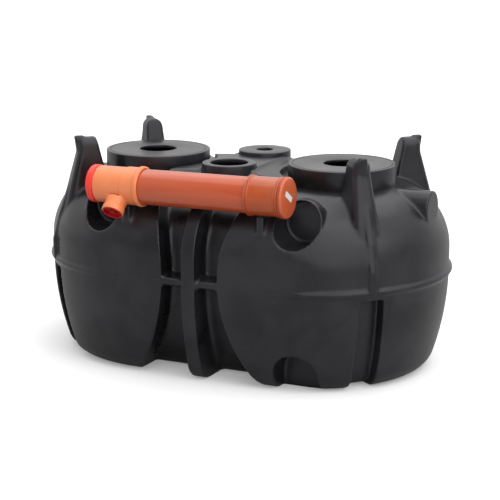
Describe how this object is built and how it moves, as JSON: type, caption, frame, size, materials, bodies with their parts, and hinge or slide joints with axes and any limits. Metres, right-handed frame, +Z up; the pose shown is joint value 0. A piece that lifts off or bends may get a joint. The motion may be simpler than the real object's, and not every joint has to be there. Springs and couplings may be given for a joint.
{
  "type": "sewage holding tank",
  "caption": "Low moulded black plastic holding tank for burial, with barrel lobes, access turrets, corner lifting lugs and an orange inlet pipe laid along its front.",
  "frame": {"origin": "on the ground under the middle of the tank", "axes": "+Z up, +X along the tank, -Y towards the side with the orange pipe"},
  "size_m": [2.464, 1.6825, 1.306],
  "materials": {
    "tank_black": "moulded polyethylene, satin black",
    "pipe_orange": "extruded pipe, brick orange",
    "tee_orange": "moulded fitting, light orange",
    "coupler_orange": "moulded fitting, deep orange",
    "cap_red": "moulded cap, bright red",
    "plug_red": "moulded plug, red"
  },
  "bodies": {
    "root": {"belt_front_left": "tank_black", "belt_front_right": "tank_black", "belt_rear_left": "tank_black", "belt_rear_right": "tank_black", "branch_plug": "plug_red", "centre_rib_front": "tank_black", "centre_rib_rear": "tank_black", "corner_rib_front_left": "tank_black", "corner_rib_front_right": "tank_black", "corner_rib_rear_left": "tank_black", "corner_rib_rear_right": "tank_black", "coupler": "coupler_orange", "end_plug": "coupler_orange", "front_neck": "tank_black", "inlet_cup_front_left": "tank_black", "inlet_cup_front_right": "tank_black", "inlet_cup_rear_left": "tank_black", "inlet_cup_rear_right": "tank_black", "left_boss": "tank_black", "left_lid": "tank_black", "left_turret": "tank_black", "lifting_lug_front_left": "tank_black", "lifting_lug_front_right": "tank_black", "lifting_lug_rear_left": "tank_black", "lifting_lug_rear_right": "tank_black", "lower_shell_front_left": "tank_black", "lower_shell_front_right": "tank_black", "lower_shell_rear_left": "tank_black", "lower_shell_rear_right": "tank_black", "main_pipe": "pipe_orange", "pipe_rest_left": "tank_black", "pipe_rest_right": "tank_black", "rear_neck": "tank_black", "right_boss": "tank_black", "right_lid": "tank_black", "right_turret": "tank_black", "saddle": "tank_black", "tee": "tee_orange", "tee_end_cap": "cap_red", "upper_shell_front_left": "tank_black", "upper_shell_front_right": "tank_black", "upper_shell_rear_left": "tank_black", "upper_shell_rear_right": "tank_black"}
  },
  "joints": []
}
